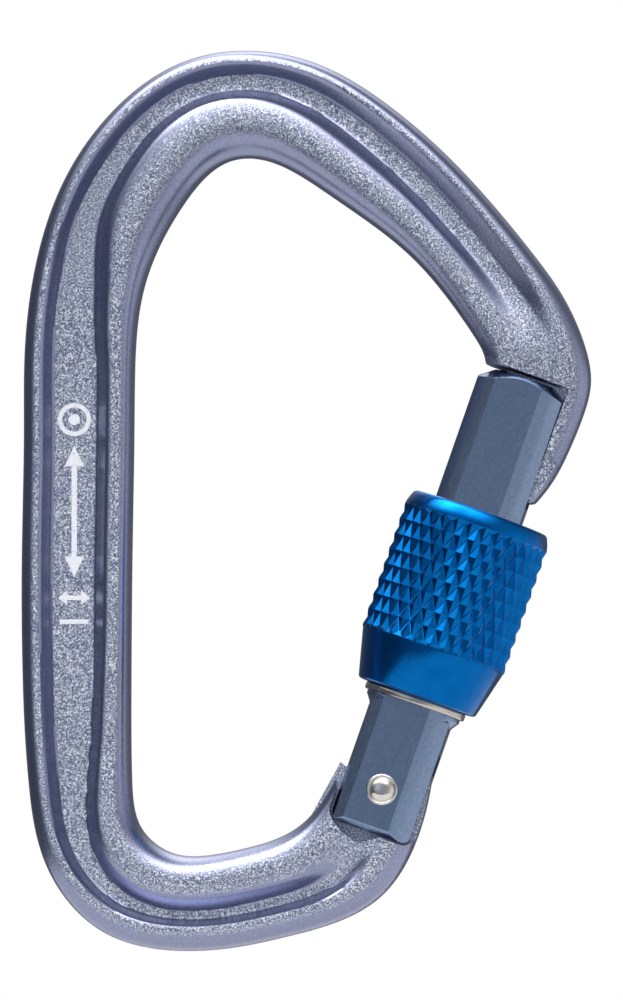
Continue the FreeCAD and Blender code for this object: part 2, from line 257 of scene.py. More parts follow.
# ------------------------------------------------------------ materials
class Finish:
    """A material with its node tree at hand."""

    def __init__(self, name, color, metallic, roughness):
        self.material = bpy.data.materials.new(name)
        self.material.use_nodes = True
        self.tree = self.material.node_tree
        self.shader = self.tree.nodes["Principled BSDF"]
        self.shader.inputs["Base Color"].default_value = (*color, 1)
        self.shader.inputs["Metallic"].default_value = metallic
        self.shader.inputs["Roughness"].default_value = roughness
        self.where = self.tree.nodes.new("ShaderNodeTexCoord").outputs["Object"]
        self.material.diffuse_color = (*color, 1)

    def node(self, kind, **inputs):
        made = self.tree.nodes.new(kind)
        for key, value in inputs.items():
            socket = made.inputs[key.replace("_", " ")]
            if isinstance(value, bpy.types.NodeSocket):
                self.tree.links.new(value, socket)
            else:
                socket.default_value = value
        return made

    def noise(self, scale, detail=2.0, vector=None):
        made = self.node("ShaderNodeTexNoise", Vector=vector or self.where, Scale=scale, Detail=detail)
        return made.outputs["Fac"]

    def stretched(self, x, y, z, tilt=TILT):
        """Object coordinates turned to the gate and scaled, for marks along it."""
        turned = self.node("ShaderNodeMapping", Vector=self.where, Rotation=(0, -tilt, 0))
        return self.node("ShaderNodeMapping", Vector=turned.outputs[0], Scale=(x, y, z)).outputs[0]

    def ramp(self, fac, stops):
        made = self.node("ShaderNodeValToRGB", Fac=fac)
        ramp = made.color_ramp
        while len(ramp.elements) < len(stops):
            ramp.elements.new(0.5)
        for element, (place, color) in zip(ramp.elements, stops):
            element.position = place
            element.color = (*color, 1)
        return made.outputs["Color"]

    def span(self, fac, low, high, new_low, new_high):
        made = self.node("ShaderNodeMapRange", Value=fac, From_Min=low, From_Max=high,
                         To_Min=new_low, To_Max=new_high)
        return made.outputs["Result"]

    def into(self, socket, value):
        self.tree.links.new(value, self.shader.inputs[socket])

    def bump(self, height, distance, strength=1.0):
        made = self.node("ShaderNodeBump", Height=height, Distance=distance, Strength=strength)
        return made.outputs["Normal"]


def anodise_with_painted_glints():
    """Forged body: lavender-grey anodise. Faces turned toward +Y and -Y get grain with painted glints, its
    bright end up to white in the colour; the flanks get a plainer, darker tone.
    """
    f = Finish("blasted anodise", (0.36, 0.38, 0.50), 1.0, 0.4)
    facing = f.node("ShaderNodeSeparateXYZ", Vector=f.tree.nodes["Texture Coordinate"].outputs["Normal"])
    flat = f.node("ShaderNodeMath", Value=facing.outputs["Y"])
    flat.operation = "ABSOLUTE"
    # Mask of the faces turned toward +Y and -Y: these get the grain with painted glints, the flanks get the
    # plain tone.
    faces_toward_y = f.span(flat.outputs[0], 0.90, 0.99, 0.0, 1.0)
    glint = f.span(f.noise(5600, 2.0), 0.36, 0.66, 0.0, 1.0)
    # Painted glints: the grain noise runs from dark through mid grey to white in the base colour, standing
    # in for the sparkle that light makes on the grain.
    grain_and_painted_glints = f.ramp(glint, [(0.0, (0.17, 0.20, 0.30)), (0.5, (0.44, 0.48, 0.60)), (1.0, (1.0, 1.0, 1.0))])
    plain = f.ramp(glint, [(0.0, (0.25, 0.27, 0.39)), (1.0, (0.34, 0.36, 0.49))])
    tint = f.node("ShaderNodeMix")
    tint.data_type = "RGBA"
    for socket, source in ((0, faces_toward_y), (6, plain), (7, grain_and_painted_glints)):
        f.tree.links.new(source, tint.inputs[socket])
    f.into("Base Color", tint.outputs[2])
    rough = f.node("ShaderNodeMapRange", Value=faces_toward_y, To_Min=0.27)
    f.tree.links.new(f.span(glint, 0.0, 1.0, 0.34, 0.60), rough.inputs["To Max"])
    f.into("Roughness", rough.outputs["Result"])
    f.into("Normal", f.bump(f.noise(5200, 1.0), 0.00002, 0.5))
    return f.material


def milled_alloy():
    """Machined faces of the body, with fine cutter lines."""
    f = Finish("milled alloy", (0.46, 0.48, 0.56), 1.0, 0.3)
    lines = f.noise(1.0, 2.0, f.stretched(900, 900, 9000))
    f.into("Roughness", f.span(lines, 0.3, 0.7, 0.24, 0.38))
    f.into("Normal", f.bump(lines, 0.000004))
    return f.material


def slate_gate():
    """Gate bar: smooth slate anodise with faint drawn lines."""
    f = Finish("slate gate anodise", (0.26, 0.32, 0.42), 1.0, 0.22)
    lines = f.noise(1.0, 3.0, f.stretched(4200, 4200, 500))
    spots = f.noise(2600, 2.0)
    f.into("Base Color", f.ramp(spots, [(0.30, (0.21, 0.29, 0.42)), (0.70, (0.26, 0.34, 0.47))]))
    f.into("Roughness", f.span(lines, 0.3, 0.7, 0.17, 0.27))
    f.into("Normal", f.bump(lines, 0.000006))
    return f.material


def blue_anodise():
    """Sleeve: saturated blue anodise, slightly satin."""
    f = Finish("blue anodise", (0.0, 0.20, 0.60), 1.0, 0.3)
    fine = f.noise(3800, 2.0)
    tone = f.ramp(f.noise(500, 2.0), [(0.3, (0.001, 0.115, 0.38)), (0.7, (0.003, 0.145, 0.44))])
    f.into("Base Color", tone)
    f.into("Roughness", f.span(fine, 0.3, 0.7, 0.15, 0.24))
    f.into("Normal", f.bump(fine, 0.000006))
    return f.material


def bright_steel(name="stainless", color=(0.72, 0.68, 0.62), rough=0.08):
    f = Finish(name, color, 1.0, rough)
    marks = f.noise(1500, 3.0)
    f.into("Roughness", f.span(marks, 0.3, 0.7, rough * 0.7, rough * 1.5))
    f.into("Normal", f.bump(f.noise(900, 2.0), 0.000004))
    return f.material


def print_white():
    """Pad-printed white ink, a little thin over the grain."""
    f = Finish("white print", (0.86, 0.86, 0.88), 0.0, 0.55)
    wear = f.noise(4200, 3.0)
    f.into("Base Color", f.ramp(wear, [(0.28, (0.66, 0.67, 0.72)), (0.42, (0.88, 0.88, 0.90)),
                                       (0.8, (0.95, 0.95, 0.96))]))
    f.into("Normal", f.bump(wear, 0.00001))
    return f.material


ANODISE = anodise_with_painted_glints()
MILLED = milled_alloy()
SLATE = slate_gate()
BLUE = blue_anodise()
STAINLESS = bright_steel()
RING_STEEL = bright_steel("ring steel", (0.58, 0.53, 0.46), 0.10)
SPRING_WIRE = bright_steel("spring wire", (0.55, 0.55, 0.56), 0.25)
PLUNGER_STEEL = bright_steel("plunger steel", (0.62, 0.62, 0.63), 0.22)
PRINT = print_white()


# ------------------------------------------------------------ forged body
def natural_spline(dist, values, at):
    """Natural cubic spline through the stations, read at the distances in at."""
    n = len(dist)
    h = np.diff(dist)
    system = np.eye(n)
    right = np.zeros((n, values.shape[1]))
    for k in range(1, n - 1):
        system[k, k - 1:k + 2] = (h[k - 1], 2 * (h[k - 1] + h[k]), h[k])
        slopes = (values[k + 1] - values[k]) / h[k] - (values[k] - values[k - 1]) / h[k - 1]
        right[k] = 6 * slopes
    bend = np.linalg.solve(system, right)
    k = np.clip(np.searchsorted(dist, at) - 1, 0, n - 2)
    left, step = (at - dist[k])[:, None], h[k][:, None]
    rest = step - left
    curve = (bend[k] * rest ** 3 + bend[k + 1] * left ** 3) / (6 * step)
    curve += (values[k] / step - bend[k] * step / 6) * rest
    return curve + (values[k + 1] / step - bend[k + 1] * step / 6) * left


def blurred(values, width):
    """Values along the bar averaged over a few neighbours, ends held."""
    reach = int(3 * width) + 1
    weight = np.exp(-0.5 * (np.arange(-reach, reach + 1) / width) ** 2)
    padded = np.pad(values, ((reach, reach), (0, 0)), mode="edge")
    columns = [np.convolve(column, weight / weight.sum(), mode="valid") for column in padded.T]
    return np.array(columns).T


def rib_curve(width, height, power, steps=40):
    """Quarter superellipse from the mid-plane edge up to the crest."""
    a = np.linspace(0, math.pi / 2, steps)
    return np.stack([width * (1 - np.cos(a) ** (2 / power)), height * np.sin(a) ** (2 / power)], 1)


def half_section(width, row, points):
    """Half of the I-beam section, outer edge to inner edge, with soft corners."""
    f1, f2, f3, f4, h1, hw, h2, p1, p2 = row
    outer = rib_curve(f1 * width, h1, p1)
    rib = (1 - f4) * width
    inner = rib_curve(0.62 * rib, h2, p2)[::-1] * (-1, 1) + (width, 0)
    away = np.linspace(1, 0, 12)[:-1]
    fall = 0.62 * (rib / 6.5) ** 2 * min(1.0, max(0.0, (h2 - hw) / 0.4))
    crest = np.stack([width - (0.62 + 0.38 * away) * rib, h2 - fall * away ** 2], 1)
    path = np.vstack([outer, [(f2 * width, hw), (f3 * width, hw)], crest, inner])
    mirrored_start = path[1:30][::-1] * (1, -1)
    mirrored_end = path[-30:-1][::-1] * (1, -1)
    path = np.vstack([mirrored_start, path, mirrored_end])
    along = np.r_[0, np.cumsum(np.hypot(*np.diff(path, axis=0).T))]
    start, end = along[29], along[-30]
    fine = np.arange(start - 1.0, end + 1.0, 0.03)
    dense = np.stack([np.interp(fine, along, path[:, k]) for k in (0, 1)], 1)
    soft = blurred(dense, 5.0)
    inside = (fine >= start) & (fine <= end)
    soft, run = soft[inside], fine[inside]
    at = np.linspace(run[0], run[-1], points)
    out = np.stack([np.interp(at, run, soft[:, k]) for k in (0, 1)], 1)
    out[0], out[-1] = (0, 0), (width, 0)
    return out


def bar_rings(step=0.45, points=58):
    """Rings of the forged bar: array of ring, point, xyz, and each ring's distance."""
    stations = np.array(BAR_STATIONS)
    middle = (stations[:, :2] + stations[:, 2:]) / 2
    dist = np.r_[0, np.cumsum(np.hypot(*np.diff(middle, axis=0).T))]
    at = np.linspace(0, dist[-1], int(dist[-1] / step) + 1)
    edges = natural_spline(dist, stations, at)
    table = np.array(BAR_SECTIONS)
    rows = np.stack([np.interp(at, table[:, 0], table[:, k]) for k in range(1, table.shape[1])], 1)
    rows = blurred(rows, SECTION_BLEND / step)
    rings = []
    for edge, row in zip(edges, rows):
        inner, outer = edge[:2], edge[2:]
        width = np.hypot(*(inner - outer))
        across = (inner - outer) / width
        half = half_section(width, row, points)
        loop = np.vstack([half * (1, -1), half[-2:0:-1]])
        ring = np.empty((len(loop), 3))
        ring[:, 0] = outer[0] + across[0] * loop[:, 0]
        ring[:, 1] = loop[:, 1]
        ring[:, 2] = outer[1] + across[1] * loop[:, 0]
        rings.append(ring)
    return np.array(rings), at


def bar_piece(name, rings):
    """Closed length of bar, its end rings capped."""
    count, around = rings.shape[:2]
    faces = []
    for i in range(count - 1):
        for k in range(around):
            n = (k + 1) % around
            faces.append((i * around + k, i * around + n, (i + 1) * around + n, (i + 1) * around + k))
    faces.append(tuple(range(around)))
    faces.append(tuple(range((count - 1) * around, count * around)))
    obj = mesh_object(name, rings.reshape(-1, 3), faces)
    finish_shading(obj)
    return obj


def to_mm_row(obj):
    """Gate axes to the row frame, still in millimetres."""
    obj.data.transform(Matrix.Scale(1 / MM, 4) @ gate_axes())
    return obj


def both_sides(name, path, y0, y1):
    return [slab(name, path, y0, y1), slab(name, path, -y1, -y0)]


def swing_room():
    """Room for the gate arms about the hinge, from closed to fully open."""
    g = SWING_GAP
    arm = [(-4.6 - g, 12)] + arc(-3.3, -3.55, 1.3 + g, 180, 270)
    arm += arc(3.9, -4.15, 0.7 + g, 270, 360) + [(4.6 + g, 12)]
    turn = math.radians(OPEN_ANGLE)
    swung = [(u * math.cos(turn) - w * math.sin(turn), u * math.sin(turn) + w * math.cos(turn))
             for u, w in arm]
    left = [(0, 0)] + arc(0, 0, 6.15 + g, 227, 227 + OPEN_ANGLE)
    right = [(0, 0)] + arc(0, 0, 6.4 + g, 313, 425, 24)
    tools = []
    for path in (left, right, arm, swung):
        tools += both_sides("room", path, TONGUE_Y, CUT_Y)
    return tools


def hinge_end(rings):
    """Hinge end of the bar with its thin tongue, cam and rivet bore."""
    obj = bar_piece("hinge_end", rings)
    for tool in swing_room():
        cut(obj, to_mm_row(tool))
    tongue = arc(0, 0, 4.3, -60, 94, 24) + [(-0.3, 2.75), (-1.2, 2.6), (-4.9, 1.14), (-5.5, 1.4)]
    tongue += [(-6.78, -6.15), (-4.0, -8.5), (2.0, -8.0)]
    cut(obj, to_mm_row(slab("tongue", tongue, -TONGUE_Y, TONGUE_Y)), "UNION")
    above = [(-9, 2.2), (-5.5, 1.4), (-4.9, 1.14), (-1.2, 2.6), (-0.3, 2.75)] + arc(0, 0, 4.3, 94, 42)
    above += [(9, 4.6), (9, 12), (-9, 12)]
    cut(obj, to_mm_row(slab("above", above, -BEYOND, BEYOND)))
    cut(obj, to_mm_row(slab("bore", arc(0, 0, 1.55, 0, 348.75, 31), -BEYOND, BEYOND)))
    return obj


def key_neck(side):
    """Shoulder cutter that leaves the key thicker than its neck."""
    path = [(TONGUE_Y, RECESS_LOW), (2.4, NECK_LOW), (CUT_Y, NECK_LOW), (CUT_Y, RECESS_LOW)]
    verts = [(u, side * y, w) for u in (-9, RECESS_OUT) for y, w in path]
    faces = [(0, 1, 2, 3), (7, 6, 5, 4), (0, 4, 5, 1), (1, 5, 6, 2), (2, 6, 7, 3), (3, 7, 4, 0)]
    obj = mesh_object("neck", verts, faces)
    finish_shading(obj)
    return obj


def recess_bevel(side):
    """Machined bevel along the top and outer edges of the recess."""
    low, high = (-9, RECESS_OUT, 41.2, RECESS_TOP), (-9, RECESS_OUT + BEVEL, 41.2, RECESS_TOP + BEVEL)
    verts = []
    for (u0, u1, w0, w1), y in ((low, 2.9), (high, 4.1)):
        verts += [(u, side * y, w) for u, w in ((u0, w0), (u1, w0), (u1, w1), (u0, w1))]
    faces = [(0, 1, 2, 3), (7, 6, 5, 4), (0, 4, 5, 1), (1, 5, 6, 2), (2, 6, 7, 3), (3, 7, 4, 0)]
    obj = mesh_object("bevel", verts, faces)
    finish_shading(obj)
    return obj


def nose_end(rings):
    """Nose of the bar: recess for the gate, tongue with its key, turned tip."""
    obj = bar_piece("nose_end", rings)
    recess = [(-9, RECESS_TOP)] + arc(3.82, 47.6, 0.9, 90, 0) + [(RECESS_OUT, RECESS_LOW), (-9, RECESS_LOW)]
    tools = both_sides("recess", recess, TONGUE_Y, CUT_Y)
    tools += [key_neck(1), key_neck(-1), recess_bevel(1), recess_bevel(-1)]
    tip = [(-9, 30), (-9, NECK_LOW), (RECESS_OUT, NECK_LOW), (RECESS_OUT, 41.6), (9, 38.6), (9, 30)]
    tools += both_sides("tip", tip, 2.4, CUT_Y)
    verts, faces = lathe([(6.7, 30), (12, 30), (12, 38.0), (6.7, 40.15)], 96)
    turned = mesh_object("turned", verts, faces)
    finish_shading(turned)
    tools.append(turned)
    inner = [(-9, 30), (-9, RECESS_TOP), (-2.3, RECESS_TOP), (-2.3, 30)]
    tools.append(slab("inner", inner, -BEYOND, BEYOND))
    foot = [(-9, 30), (-9, 36.3)] + arc(-1.3, 36.3, 1.0, 180, 270)
    foot += arc(4.2, 37.4, 2.1, 270, 360) + [(9, 39.0), (9, 30)]
    tools.append(slab("foot", foot, -BEYOND, BEYOND))
    for tool in tools:
        cut(obj, to_mm_row(tool))
    return obj


def forged_body():
    """Whole body as one skin: cut ends joined to the plain middle."""
    rings, at = bar_rings()
    low = int(np.searchsorted(at, SEAM_LOW))
    high = int(np.searchsorted(at, SEAM_HIGH))
    seams = [rings[low].mean(0), rings[high].mean(0)]
    ends = [hinge_end(rings[:low + 1]), nose_end(rings[high:])]
    middle = bar_piece("middle", rings[low:high + 1])
    obj = join("forged_body", [middle] + ends)
    bm = bmesh.new()
    bm.from_mesh(obj.data)
    caps = [f for f in bm.faces if len(f.verts) > 60
            and min((f.calc_center_median() - Vector(s)).length for s in seams) < 1.0]
    bmesh.ops.delete(bm, geom=caps, context="FACES")
    bmesh.ops.remove_doubles(bm, verts=bm.verts, dist=0.0005)
    bm.to_mesh(obj.data)
    bm.free()
    finish_shading(obj, 32)
    obj.data.materials.clear()
    for material in (ANODISE, MILLED):
        obj.data.materials.append(material)
    back = (Matrix.Scale(1 / MM, 4) @ gate_axes()).inverted()
    for face in obj.data.polygons:
        u, y, w = back @ face.center
        spans = ((u, MILLED_U), (abs(y), MILLED_Y), (w, MILLED_W))
        wall = abs(face.normal.y) < 0.9 and all(low < value < high for value, (low, high) in spans)
        face.material_index = int(wall)
    obj.data.transform(Matrix.Scale(MM, 4))
    return obj


# ------------------------------------------------------------ gate
def gate_bar():
    """Gate from the CAD solid, its visible edges eased."""
    source = bpy.data.objects["gate"]
    mesh = source.data.copy()
    obj = bpy.data.objects.new("gate_bar", mesh)
    bpy.context.scene.collection.objects.link(obj)
    mesh.transform(Matrix(gate_axes()).inverted())
    bm = bmesh.new()
    bm.from_mesh(mesh)
    bmesh.ops.remove_doubles(bm, verts=bm.verts, dist=0.0008)
    bmesh.ops.dissolve_limit(bm, angle_limit=math.radians(0.4), verts=bm.verts, edges=bm.edges)
    for foot, size, steps in ((True, 0.4, 3), (False, 0.13, 2)):
        eased = []
        for edge in bm.edges:
            if len(edge.link_faces) != 2 or edge.calc_face_angle() < math.radians(18):
                continue
            w = sum(v.co.z for v in edge.verts) / 2
            shown = max(abs(v.co.y) for v in edge.verts) > 2.0 or w > 33.6
            low = max(v.co.z for v in edge.verts) < -2.9
            if shown and low == foot and (w < 10.2 or w > 34.0):
                eased.append(edge)
        bmesh.ops.bevel(bm, geom=eased, offset=size, offset_type="OFFSET", segments=steps, profile=0.5,
                        affect="EDGES", clamp_overlap=True)
    bm.to_mesh(mesh)
    bm.free()
    finish_shading(obj, 34)
    to_gate(obj)
    mesh.materials.clear()
    mesh.materials.append(SLATE)
    weighted = obj.modifiers.new("weighted", "WEIGHTED_NORMAL")
    weighted.keep_sharp = True
    return obj


# ------------------------------------------------------------ sleeve
def knurl_tree():
    """Rows of four-sided pyramids round the sleeve, every second row turned half a pitch."""
    tree = bpy.data.node_groups.new("diamond knurl", "GeometryNodeTree")
    face = tree.interface
    face.new_socket(name="Geometry", in_out="INPUT", socket_type="NodeSocketGeometry")
    for name, kind, value in (("Rows", "NodeSocketInt", 9), ("Around", "NodeSocketInt", 32),
                              ("Top row", "NodeSocketFloat", 30.88), ("Row pitch", "NodeSocketFloat", 1.76),
                              ("Seat radius", "NodeSocketFloat", 7.88), ("Height", "NodeSocketFloat", 0.44),
                              ("Half width", "NodeSocketFloat", 0.81),
                              ("Half length", "NodeSocketFloat", 1.75)):
        face.new_socket(name=name, in_out="INPUT", socket_type=kind).default_value = value
    face.new_socket(name="Finish", in_out="INPUT", socket_type="NodeSocketMaterial")
    face.new_socket(name="Geometry", in_out="OUTPUT", socket_type="NodeSocketGeometry")
    new, link = tree.nodes.new, tree.links.new
    given = new("NodeGroupInput").outputs

    def math_node(operation, a, b=None):
        made = new("ShaderNodeMath")
        made.operation = operation
        for socket, value in zip(made.inputs, (a, b)):
            if isinstance(value, bpy.types.NodeSocket):
                link(value, socket)
            elif value is not None:
                socket.default_value = value
        return made.outputs[0]

    def vector_node(x, y, z):
        made = new("ShaderNodeCombineXYZ")
        for socket, value in zip(made.inputs, (x, y, z)):
            if isinstance(value, bpy.types.NodeSocket):
                link(value, socket)
            else:
                socket.default_value = value
        return made.outputs[0]

    index = new("GeometryNodeInputIndex").outputs[0]
    row = math_node("FLOOR", math_node("DIVIDE", index, given["Around"]))
    column = math_node("MODULO", index, given["Around"])
    shift = math_node("MULTIPLY", math_node("MODULO", row, 2.0), 0.5)
    share = math_node("DIVIDE", math_node("ADD", column, shift), given["Around"])
    angle = math_node("MULTIPLY", share, 2 * math.pi)
    height = math_node("SUBTRACT", given["Top row"], math_node("MULTIPLY", row, given["Row pitch"]))
    place = vector_node(math_node("MULTIPLY", math_node("COSINE", angle), given["Seat radius"]),
                        math_node("MULTIPLY", math_node("SINE", angle), given["Seat radius"]), height)
    points = new("GeometryNodePoints")
    link(math_node("MULTIPLY", given["Rows"], given["Around"]), points.inputs["Count"])
    link(place, points.inputs["Position"])
    pyramid = new("GeometryNodeMeshCone")
    pyramid.inputs["Vertices"].default_value = 4
    pyramid.inputs["Radius Top"].default_value = 0.07
    pyramid.inputs["Radius Bottom"].default_value = 1.0
    pyramid.inputs["Depth"].default_value = 1.0
    spread = new("GeometryNodeInstanceOnPoints")
    link(points.outputs[0], spread.inputs["Points"])
    link(pyramid.outputs["Mesh"], spread.inputs["Instance"])
    link(vector_node(0.0, math.pi / 2, angle), spread.inputs["Rotation"])
    link(vector_node(given["Half length"], given["Half width"], given["Height"]), spread.inputs["Scale"])
    solid = new("GeometryNodeRealizeInstances")
    link(spread.outputs[0], solid.inputs[0])
    paint = new("GeometryNodeSetMaterial")
    link(solid.outputs[0], paint.inputs["Geometry"])
    link(given["Finish"], paint.inputs["Material"])
    link(paint.outputs[0], new("NodeGroupOutput").inputs[0])
    return tree


def knurl():
    """The knurl as a plain mesh in gate axes."""
    obj = mesh_object("knurl", [(0, 0, 0)], [])
    modifier = obj.modifiers.new("knurl", "NODES")
    modifier.node_group = knurl_tree()
    sockets = {s.name: s.identifier for s in modifier.node_group.interface.items_tree if s.in_out == "INPUT"}
    modifier[sockets["Finish"]] = BLUE
    mesh = bpy.data.meshes.new_from_object(obj.evaluated_get(bpy.context.evaluated_depsgraph_get()))
    obj.modifiers.clear()
    obj.data = mesh
    bm = bmesh.new()
    bm.from_mesh(mesh)
    for height, keep in ((KNURL_TOP, -1), (KNURL_FOOT, 1)):
        whole = list(bm.verts) + list(bm.edges) + list(bm.faces)
        bmesh.ops.bisect_plane(bm, geom=whole, plane_co=(0, 0, height), plane_no=(0, 0, keep),
                               clear_inner=True)
        bmesh.ops.holes_fill(bm, edges=[e for e in bm.edges if e.is_boundary], sides=0)
    bm.to_mesh(mesh)
    bm.free()
    return obj


def thread_ridge(root, crest, w0, turns, steps=64):
    """Right-hand ridge wound about the gate axis with its two ends closed."""
    shape = [(root, -0.62), (crest, -0.38), (crest, 0.38), (root, 0.62)]
    verts = []
    count = int(turns * steps)
    for k in range(count + 1):
        a = 2 * math.pi * k / steps
        rise = w0 + THREAD_LEAD * k / steps
        verts += [(r * math.cos(a), r * math.sin(a), rise + w) for r, w in shape]
    faces = [(0, 1, 2, 3), tuple(range(4 * count, 4 * count + 4))]
    for k in range(count):
        for p in range(4):
            q = (p + 1) % 4
            faces.append((4 * k + p, 4 * k + 4 + p, 4 * k + 4 + q, 4 * k + q))
    return mesh_object("ridge", verts, faces, [BLUE])


def knurled_sleeve():
    """Sleeve: turned shell with a collar, knurl seat, taper, counterbore and thread."""
    outer = [(5.75, 10.95), (6.45, 10.95), (6.72, 11.02), (6.88, 11.2), (8.16, 16.25), (8.22, 16.55)]
    outer += [(8.22, 16.6), (7.93, 17.1), (7.93, 30.5), (8.29, 30.92), (8.28, 31.15), (8.14, 31.65)]
    outer += [(7.97, 32.1), (7.82, 32.42), (7.62, 32.58), (7.4, 32.6), (7.1, 32.55)]
    inner = [(6.92, 32.35), (6.9, 32.1), (6.9, 23.5), (5.5, 23.5), (5.5, 11.2)]
    verts, faces = lathe(outer + inner, 128)
    shell = mesh_object("shell", verts, faces, [BLUE])
    finish_shading(shell, 40)
    ridge = thread_ridge(5.62, 4.97, 13.4, 1.75)
    finish_shading(ridge, 30)
    pyramids = knurl()
    flat = bmesh.new()
    flat.from_mesh(pyramids.data)
    for f in flat.faces:
        f.smooth = False
    flat.to_mesh(pyramids.data)
    flat.free()
    obj = join("knurled_sleeve", [shell, ridge, pyramids])
    to_gate(obj)
    return obj


# ------------------------------------------------------------ small parts
def split_ring():
    """Stop ring with rolled edges and its split at the back."""
    profile = [(4.9, 10.2), (4.96, 10.12), (5.06, 10.1), (5.62, 10.1), (5.74, 10.14), (5.8, 10.26)]
    profile += [(5.8, 10.74), (5.74, 10.86), (5.62, 10.9), (5.06, 10.9), (4.96, 10.88), (4.9, 10.8)]
    verts, faces = lathe(profile, 120, 96.0, 444.0)
    obj = mesh_object("split_ring", verts, faces, [RING_STEEL])
    finish_shading(obj, 40)
    to_gate(obj)
    return obj


def formed_rivet():
    """Rivet: plain shank, and at each end a dome inside a rolled rim."""
    y = 4.2
    rim = [(1.5, y), (1.72, y), (1.75, y + 0.08), (1.74, y + 0.18), (1.68, y + 0.27), (1.58, y + 0.33)]
    rim += [(1.48, y + 0.31), (1.40, y + 0.22), (1.34, y + 0.16), (1.28, y + 0.18), (1.2, y + 0.26)]
    rim += [(1.02, y + 0.38), (0.8, y + 0.47), (0.54, y + 0.53), (0.27, y + 0.56), (0.0, y + 0.57)]
    profile = rim + [(r, -v) for r, v in reversed(rim)]
    verts, faces = lathe(profile, 64)
    verts = [(x, w, z) for x, z, w in verts]
    obj = mesh_object("formed_rivet", verts, faces, [STAINLESS])
    merged(obj, 0.0005)
    finish_shading(obj, 50)
    to_gate(obj)
    return obj


def plate_mark(name, path, y0, y1):
    """Flat printed shape between two depths, as a thin closed plate in the row frame."""
    count = len(path)
    verts = [(x, y0, z) for x, z in path] + [(x, y1, z) for x, z in path]
    faces = [tuple(range(count)), tuple(range(count, 2 * count))]
    for k in range(count):
        n = (k + 1) % count
        faces.append((k, n, n + count, k + count))
    obj = mesh_object(name, verts, faces, [PRINT])
    finish_shading(obj, 30)
    return obj


def arrow(cx, cz, length, width, shaft, head, upright=True):
    """Two-headed arrow outline."""
    half = length / 2
    path = [(0, half), (width / 2, half - head), (shaft / 2, half - head), (shaft / 2, head - half)]
    path += [(width / 2, head - half), (0, -half)]
    path += [(-a, b) for a, b in reversed(path[1:-1])]
    if not upright:
        path = [(b, a) for a, b in path]
    return [(cx + a, cz + b) for a, b in path]


def load_marks():
    """Plain load pictograms on the web: ring, long arrow for the axis, short arrow across."""
    x, y0, y1 = -19.05, -2.19, -2.25
    outer, inner = arc(x, -29.4, 1.85, 0, 348.75, 31), arc(x, -29.4, 1.35, 0, 348.75, 31)
    verts = [(a, y, b) for y in (y0, y1) for ring in (outer, inner) for a, b in ring]
    n, faces = len(outer), []
    for k in range(n):
        m = (k + 1) % n
        faces += [(k, m, m + n, k + n), (k + 2 * n, m + 2 * n, m + 3 * n, k + 3 * n)]
        faces += [(k, m, m + 2 * n, k + 2 * n), (k + n, m + n, m + 3 * n, k + 3 * n)]
    hoop = mesh_object("hoop", verts, faces, [PRINT])
    finish_shading(hoop, 30)
    parts = [hoop, plate_mark("dot", arc(x, -29.4, 0.62, 0, 337.5, 15), y0, y1)]
    parts.append(plate_mark("axis", arrow(x, -39.6, 14.6, 2.2, 0.62, 2.3), y0, y1))
    parts.append(plate_mark("across", arrow(x, -49.2, 3.6, 1.7, 0.5, 1.05, False), y0, y1))
    bar = [(x - 1.6, -51.6), (x + 1.6, -51.6), (x + 1.6, -52.1), (x - 1.6, -52.1)]
    parts.append(plate_mark("bar", bar, y0, y1))
    obj = join("load_marks", parts)
    obj.data.transform(Matrix.Scale(MM, 4))
    return obj


# ------------------------------------------------------------ build the object
body = forged_body()
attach(body, "frame")
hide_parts("frame")

gate = gate_bar()
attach(gate, "gate")
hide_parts("gate")

rivet = formed_rivet()
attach(rivet, "gate")
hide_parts("hinge_rivet")

ring = split_ring()
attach(ring, "stop_ring")
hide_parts("stop_ring")

sleeve = knurled_sleeve()
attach(sleeve, "sleeve")
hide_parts("lock_sleeve")

marks = load_marks()
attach(marks, "frame")

for node, material in (("gate_spring", SPRING_WIRE), ("spring_plunger", PLUNGER_STEEL)):
    data = bpy.data.objects[node].data
    data.materials.clear()
    data.materials.append(material)


# ------------------------------------------------------------ studio
def square_light(name, place, target, size, power):
    light = bpy.data.lights.new(name, "AREA")
    light.shape = "SQUARE"
    light.size = size
    light.energy = power
    obj = bpy.data.objects.new(name, light)
    obj.location = place
    obj.rotation_euler = (Vector(target) - Vector(place)).to_track_quat("-Z", "Y").to_euler()
    bpy.context.scene.collection.objects.link(obj)
    return obj


ROOM_GLOW = (0.10, 0.11, 0.14)

# Soft lights of the studio: turn from the front, elevation, width in degrees, colour.
SOFT_LIGHTS = [
    (-55, 66, 15, (8.0, 8.0, 8.0)),
    (18, 52, 13, (4.2, 4.2, 4.3)),
    (180, 50, 15, (2.6, 2.6, 2.7)),
    (-22, 12, 14, (0.38, 0.45, 0.55)),
    (70, -8, 27, (0.78, 0.77, 0.80)),
    (118, -10, 16, (0.52, 0.52, 0.56)),
    (10, -25, 26, (0.16, 0.16, 0.18)),
]


CENTRE = (0.007, 0.0, -0.038)
CAMERA_TARGET = (0.00718, 0.0, -0.0383)
CAMERA_DISTANCE = 1.1
VIEW_HEIGHT = 0.1110              # height that the frame covers at the target, m
CAMERA_SIDE, CAMERA_RISE = 3.5, -3.5
FLOOR_HALF, FLOOR_DROP = 0.2, 0.06


